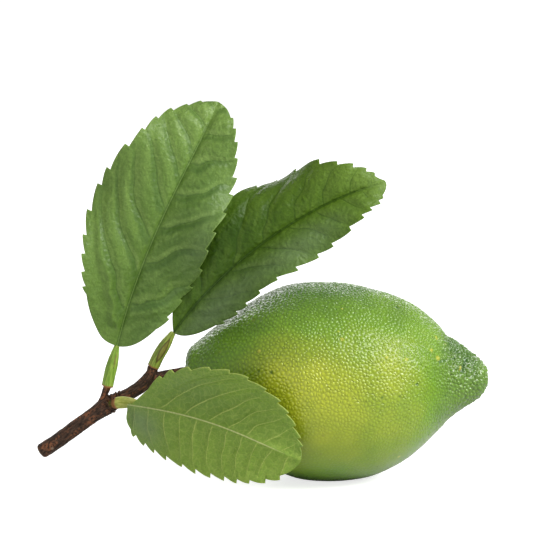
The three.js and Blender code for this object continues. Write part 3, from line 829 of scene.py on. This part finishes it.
def leafMaterial(name, tone):
    # A leaf: darker green along the veins and the midrib on its upper face, partly painted shade in their
    # grooves, with a painted lit and a painted shaded bank beside each side vein; pale raised veins and a
    # net under it; painted light, shade and sheen in soft patches
    material, tree = freshMaterial(name)
    veins = useGroup(tree, leafVeins)
    broad, blotches, speckle = (
        mottled(tree, scale, contrast) for scale, contrast in ((260.0, 2.2), (800.0, 2.6), (2400.0, 2.6))
    )
    # painted light and shade: lighter where the leaf is lit or lit through, darker where it is shaded,
    # partly its own tone
    shades = [
        (attribute(tree, "light"), 0.75, tone["pale"]), (attribute(tree, "deep"), 0.8, tone["topDeep"]),
    ]
    top = layered(tree, tone["top"], [
        (broad, 0.4, tone["topDeep"]), (blotches, 0.32, tone["vein"]), *shades,
        # painted light and shade: a lit bank and a shaded bank beside each side vein, as if its relief were
        # lit from one side
        (veins["Streaks"], tone["streak"], tone["pale"]), (veins["Shade"], tone["paintedBanks"], tone["topDeep"]),
        (veins["LitBank"], tone["paintedBanks"], tone["pale"]), (veins["Sides"], 0.5, tone["topDeep"]),
        (veins["Midrib"], 0.7, tone["topDeep"]), (veins["Core"], tone["core"], tone["vein"]),
    ])
    low = layered(tree, tone["under"], [
        (broad, 0.45, tone["top"]), (blotches, 0.35, tone["pale"]), *shades,
        (veins["Net"], 0.24, tone["vein"]), (veins["Sides"], 0.9, tone["vein"]),
        (veins["Core"], 0.9, tone["midrib"]),
    ])
    rim = mapRange(tree, mathNode(tree, "ABSOLUTE", surfaceParts(tree)[1]), 0.975, 1.0)
    # painted sheen where the blade would reflect the bright surroundings
    tint = layered(tree, mixColour(tree, attribute(tree, "under"), top, low), [
        (speckle, 0.4, tone["topDeep"]), (attribute(tree, "paintedSheen"), 0.6, blade["paintedSheen"]),
        (rim, 0.6, tone["vein"]),
    ])
    height = mathNode(tree, "ADD", scaled(tree, blotches, 0.4), scaled(tree, veins["Quilt"], 0.6))
    green = addNode(tree, "BsdfPrincipled", {
        "Base Color": tint, "Roughness": mapRange(tree, speckle, 0.0, 1.0, 0.34, 0.5, "LINEAR"),
        "Specular IOR Level": tone["gloss"], "Normal": bumpNode(tree, height, 0.4, 0.0005),
    }).outputs[0]
    glow = addNode(tree, "BsdfTranslucent", {"Color": tone["glow"]}).outputs[0]
    mixed = {0: blade["seeThrough"], 1: green, 2: glow}
    showShader(tree, addNode(tree, "MixShader", mixed))
    return material


# Each blade is one grid that runs round it: over the top from edge to edge and back underneath
leafVeins = veinGroup()
nearRib, nearEdge = [0, 0.012, 0.028, 0.05], [0.985, 1.0]
shares = np.concatenate([nearRib, np.linspace(0.075, 0.965, blade["columns"] - 6), nearEdge])
for node, leaf in leaves.items():
    faces = [bladeGrid(leaf, leaf[name], side, order, top) for name, side, order, top in (
        ("left", 1, shares[::-1], True), ("right", -1, shares, True),
        ("right", -1, shares[::-1], False), ("left", 1, shares, False),
    )]
    points, uv = (np.concatenate([f[i] for f in faces] + [faces[0][i][:, :1]], axis=1) for i in (0, 1))
    values = {
        k: np.concatenate([f[2][k] for f in faces] + [faces[0][2][k][:, :1]], axis=1) for k in faces[0][2]
    }
    for end in (0, -1):
        points[end] = points[end].mean(axis=0)
    green = leafMaterial(node + "_green", leaf["tone"])
    buildPiece(node + "_blade", [gridShell(points, uv, values)], green, node)


twig = {
    "main": [  # middle line and radius
        [-71.1, 1.5, 6.6, 1.88], [-68.2, 1.2, 8.55, 1.9], [-62.1, 0.7, 13.05, 1.9],
        [-57.8, 0.3, 16.25, 1.95], [-54.6, 0, 18.5, 2.3], [-52.6, 0, 19.6, 2],
        [-49.9, 0, 21, 1.6], [-46.8, 0, 22.85, 1.65],
        [-44.5, 0, 25, 1.7], [-43.5, 0, 26.6, 1.5], [-43.1, -0.1, 28.25, 1.3],
    ],
    "fruitBranch": [
        [-45, 0, 24.7, 1], [-42.8, 0, 25.7, 1.15], [-41, 0, 26.2, 1.04], [-38.35, 0, 26.8, 0.95],
        [-35.4, 0, 27.2, 1], [-34.3, 0, 27.2, 1.1],
    ],
    "upperSpur": [[-56.4, 0, 18.4, 1.1], [-55.4, -0.1, 21.2, 0.84], [-54.6, -0.35, 23.45, 1.0]],
    "lowerSpur": [[-54, 0, 18.9, 1.5], [-52.8, -1.8, 19.3, 1.2], [-52.3, -2.65, 19.42, 1.2]],
    "grid": {"main": (300, 72), "fruitBranch": (90, 44), "upperSpur": (50, 48), "lowerSpur": (36, 48)},
    "roundEnds": (0.9, 0.3),
    "scales": {"every": 1.05, "height": 0.9, "from": 19.5, "to": 25.5},  # of the old bud, round the node
    "furrows": 0.05,
    "lumps": 0.04,
    "bud": {"middle": (-53.6, -1.9, 19.3), "reach": 0.8},
    "lenticel": {"middle": (-68.6, -0.7, 7.4), "reach": 0.45},
    "dark": colour(40, 28, 20), "light": colour(84, 62, 47), "worn": colour(146, 92, 60),
    "marks": {"cut": colour(150, 126, 104), "bud": colour(110, 122, 40), "rim": colour(176, 122, 66)},
}
stalks = {
    "petiole_upper": {
        "stations": [
            [-54.5, -0.38, 23.5, 1.45], [-54, -0.6, 26, 1.48], [-53.1, -1, 29.6, 1.38],
            [-52.05, -1.5, 33.8, 0.66],
        ],
        "light": colour(154, 188, 70), "deep": colour(114, 152, 42), "brown": colour(150, 140, 66),
        "markAt": (0.3, 7.5), "markReach": (0.02, 2.2),  # round the stalk in turns, and along it
    },
    "petiole_middle": {
        "stations": [
            [-43, -0.08, 28.35, 1.5], [-41.65, -0.4, 31.2, 1.5], [-39.9, -0.7, 34.1, 1.38],
            [-38, -1, 37.1, 0.7],
        ],
        "light": colour(164, 182, 76), "deep": colour(116, 138, 44), "brown": colour(130, 110, 56),
        "markAt": (0.27, 5.2), "markReach": (0.07, 3.4),
    },
    "petiole_lower": {
        "stations": [
            [-52.1, -2.9, 19.65, 1.46], [-50.4, -4, 20, 1.48], [-48.8, -5.7, 20.3, 1.3],
            [-46.9, -8.3, 20.7, 0.8],
        ],
        "light": colour(190, 194, 92), "deep": colour(146, 156, 50), "brown": colour(168, 160, 78),
        "markAt": (0.3, 2.0), "markReach": (0.03, 0.9),
    },
}
stalk = {
    "rows": 110, "sides": 60, "roundEnds": (0.1, 0.2), "rib": 0.07, "waviness": 0.02,
    "markEdge": colour(74, 44, 26), "joint": colour(158, 106, 58),
}


def barkRelief(seed, scales=None):
    # Furrows that run lengthwise and wander, lumps, and overlapping bud scales: each one rises along its
    # length and then drops, at places that wander round the twig.
    def relief(length, angle, point):
        around = np.sin(angle * 5 + 1.3 * np.sin(length / 2.1 + seed))
        around = around + 0.6 * np.sin(angle * 11 + 2 * np.sin(length / 1.3))
        total = twig["furrows"] * 0.6 * around + twig["lumps"] * smoothNoise(point, 2.4, seed, 3)
        if scales:
            begun, left = (length - scales["from"]) / 1.5, (scales["to"] - length) / 1.5
            inside = np.clip(begun, 0, 1) * np.clip(left, 0, 1)
            wander = 0.5 * np.sin(angle + seed) + 0.3 * smoothNoise(point, 3.5, seed + 20, 2)
            patchy = np.clip(0.7 + 0.8 * smoothNoise(point, 3, seed + 30, 2), 0.1, 1.5)
            tilt = ((length + wander) / scales["every"]) % 1 - 0.5
            total = total + inside * patchy * scales["height"] * tilt
        return total
    return relief


def stalkRelief(length, angle, point):
    # Five rounded ribs and a fine waviness.
    return stalk["rib"] * np.cos(5 * angle) + stalk["waviness"] * smoothNoise(point, 1.6, 8, 2)


# Grain: noise drawn out lengthwise. The angle round the stem goes through its cosine and sine, so that
# the noise closes on itself; the second coordinate is the length in millimetres.
grain, grainIn, grainOut = nodeGroup("lengthwiseGrain", {"Around": 3.0, "Along": 0.4}, ["Mask"])
grainParts = surfaceParts(grain)
grainAngle = scaled(grain, grainParts[0], 2 * math.pi)
grainPlace = addNode(grain, "CombineXYZ", {
    0: scaled(grain, mathNode(grain, "COSINE", grainAngle), grainIn["Around"]),
    1: scaled(grain, mathNode(grain, "SINE", grainAngle), grainIn["Around"]),
    2: scaled(grain, grainParts[1], grainIn["Along"]),
})
grain.links.new(noiseNode(grain, grainPlace.outputs[0], 1.0, 4.0, 0.6)[0], grainOut["Mask"])


def barkMaterial():
    # Smooth dark bark with a fine lengthwise grain and reddish worn patches in broad rows
    material, tree = freshMaterial("twig_bark")
    fine = useGroup(tree, grain, around=5.0, along=0.7)[0]
    broad = useGroup(tree, grain, around=1.1, along=0.22)[0]
    crumbs = mottled(tree, 1500.0, 3.0)
    worn = scaled(tree, mapRange(tree, broad, 0.46, 0.62), mapRange(tree, crumbs, 0.3, 0.75))
    tint = layered(tree, twig["dark"], [
        (mapRange(tree, fine, 0.35, 0.68), 1, twig["light"]), (worn, 0.75, twig["worn"]),
        *((attribute(tree, name), 1, over) for name, over in twig["marks"].items()),
    ])
    height = mathNode(tree, "ADD", fine, scaled(tree, crumbs, 0.3))
    showShader(tree, addNode(tree, "BsdfPrincipled", {
        "Base Color": tint, "Roughness": mapRange(tree, fine, 0.3, 0.7, 0.75, 0.55, "LINEAR"),
        "Specular IOR Level": 0.25, "Normal": bumpNode(tree, height, 0.5, 0.0002),
    }))
    return material


def stalkMaterial(name, tone):
    # A green stalk: lighter and darker in lengthwise streaks, speckled, brown at the joint and along its
    # one long mark
    material, tree = freshMaterial(name)
    streaks = useGroup(tree, grain, around=2.6, along=0.3)[0]
    speckle = mottled(tree, 1300.0, 3.0)
    tint = layered(tree, tone["deep"], [
        (mapRange(tree, streaks, 0.38, 0.62), 1, tone["light"]),
        (mapRange(tree, speckle, 0.55, 0.9), 0.3, tone["brown"]),
        (attribute(tree, "mark"), 0.6, tone["brown"]), (attribute(tree, "markEdge"), 1, stalk["markEdge"]),
        (mapRange(tree, attribute(tree, "joint"), 0.3, 0.9), 1, stalk["joint"]),
    ])
    showShader(tree, addNode(tree, "BsdfPrincipled", {
        "Base Color": tint, "Roughness": 0.48, "Normal": bumpNode(tree, streaks, 0.4, 0.0002),
    }))
    return material


def nearness(points, spot):
    # How far each point is from a spot's middle, squared, over its reach squared.
    return np.sum((points - spot["middle"]) ** 2, axis=-1) / spot["reach"] ** 2


print("leaves ready")
twigShells = []
for key, (rows, sides) in twig["grid"].items():
    scales = twig["scales"] if key == "main" else None
    aside = (0, 0, 1) if key == "lowerSpur" else (0, 1, 0)
    relief = barkRelief(len(twigShells) + 2, scales)
    points, uv, length, shrink = tubeShell(twig[key], rows, sides, aside, relief, twig["roundEnds"])
    cut = (1 - shrink)[:, None] * (length[:, None] < 1) * (1.0 if key == "main" else 0.0)
    lenticel = np.exp(-nearness(points, twig["lenticel"]))
    spurEnd = (length[-1] - length[:, None]) / 0.5 if "Spur" in key else 9.0
    twigShells.append(gridShell(points, uv, {
        "cut": np.clip(cut * 3, 0, 0.8) + np.clip(1.6 * lenticel - 0.3, 0, 0.8),
        "bud": np.exp(-nearness(points, twig["bud"]) ** 2) * 0.8,
        "rim": 0.6 * np.exp(-spurEnd ** 2),
    }))
buildPiece("twig_bark", twigShells, barkMaterial(), "twig")

for node, look in stalks.items():
    aside = (0, 0, 1) if node == "petiole_lower" else (0, 1, 0)
    points, uv, length, _ = tubeShell(
        look["stations"], stalk["rows"], stalk["sides"], aside, stalkRelief, stalk["roundEnds"]
    )
    # The mark is a lens along the front: how far a point is from its middle, as a share of its reach
    place, (reachRound, reachLong) = look["markAt"], look["markReach"]
    lens = np.abs(uv[..., 0] - place[0]) / reachRound + ((uv[..., 1] - place[1]) / reachLong) ** 2
    joint = np.exp(-(length / 0.45) ** 2) + 0.4 * np.exp(-((length[-1] - length) / 0.5) ** 2)
    values = {
        "joint": joint[:, None],
        "mark": np.clip((1.05 - lens) * 6, 0, 1),
        "markEdge": np.clip(1.2 - np.abs(lens - 1) / 0.35, 0, 1) * 0.8,
    }
    green = stalkMaterial(node + "_green", look)
    buildPiece(node + "_stalk", [gridShell(points, uv, values)], green, node)


studio = {
    "target": (-14.6, 0, 53.75), "distance": 700, "elevation": 8, "lens": 189.1,
    "sky": 0.42, "paper": 0.7, "paperGlow": 0.75, "floorSize": 6,  # metres
    "lightTarget": (0, 0, 30),
    "lights": {  # direction, distance and size in metres, and power in watts
        "key": ((0.62, -0.52, 0.75), 0.6, (0.3, 0.3), 2.35),
        "rim": ((-0.6, 0.6, 0.55), 0.6, (0.4, 0.12), 0.4),
        "back": ((0.12, 0.91, 0.39), 1.0, (1.2, 0.35), 3.6),
        "side": ((0.85, -0.2, 0.47), 0.6, (0.17, 0.17), 1.6),
        "fill": ((-0.4, -0.85, 0.15), 0.8, (0.6, 0.6), 0.95),
    },
}
scene = bpy.context.scene

# A pale floor, which glows a little to the camera alone
floorMesh, reach = bpy.data.meshes.new("studio_floor"), studio["floorSize"] / 2
floorCorners = [(-reach, -reach, 0), (reach, -reach, 0), (reach, reach, 0), (-reach, reach, 0)]
floorMesh.from_pydata(floorCorners, [], [range(4)])
floorMaterial, tree = freshMaterial("pale_floor")
paper = addNode(tree, "BsdfDiffuse", {"Color": (*[studio["paper"]] * 3, 1)}).outputs[0]
white = {"Color": (1, 1, 1, 1), "Strength": studio["paperGlow"]}
glow = addNode(tree, "Emission", white).outputs[0]
seen = addNode(tree, "LightPath").outputs["Is Camera Ray"]
glowing = addNode(tree, "MixShader", {0: seen, 2: glow}).outputs[0]
showShader(tree, addNode(tree, "AddShader", {0: paper, 1: glowing}))
floorMesh.materials.append(floorMaterial)
floor = bpy.data.objects.new("studio_floor", floorMesh)
scene.collection.objects.link(floor)

world = bpy.data.worlds.new("studio")
scene.world = world
world.use_nodes = True
plug(world.node_tree, world.node_tree.nodes["Background"], 0, (1, 1, 1, 1))
plug(world.node_tree, world.node_tree.nodes["Background"], 1, studio["sky"])

lightTarget = Vector(studio["lightTarget"]) * millimetre
for name, (direction, distance, size, power) in studio["lights"].items():
    light = bpy.data.lights.new(name + "_softbox", "AREA")
    light.shape = "RECTANGLE"
    light.size, light.size_y = size
    light.energy = power
    lamp = bpy.data.objects.new(name + "_softbox", light)
    lamp.location = lightTarget + Vector(direction).normalized() * distance
    lamp.rotation_euler = (lightTarget - lamp.location).to_track_quat("-Z", "Y").to_euler()
    scene.collection.objects.link(lamp)

elevation = math.radians(studio["elevation"])
cameraData = bpy.data.cameras.new("camera")
cameraData.lens = studio["lens"]
cameraData.sensor_width = 36
cameraData.clip_end = 20
camera = bpy.data.objects.new("camera", cameraData)
toCamera = Vector((0, -math.cos(elevation), math.sin(elevation))) * studio["distance"] * millimetre
camera.location = Vector(studio["target"]) * millimetre + toCamera
camera.rotation_euler = (math.pi / 2 - elevation, 0, 0)
scene.collection.objects.link(camera)
scene.camera = camera
scene.view_settings.view_transform = "Standard"
print("studio ready")
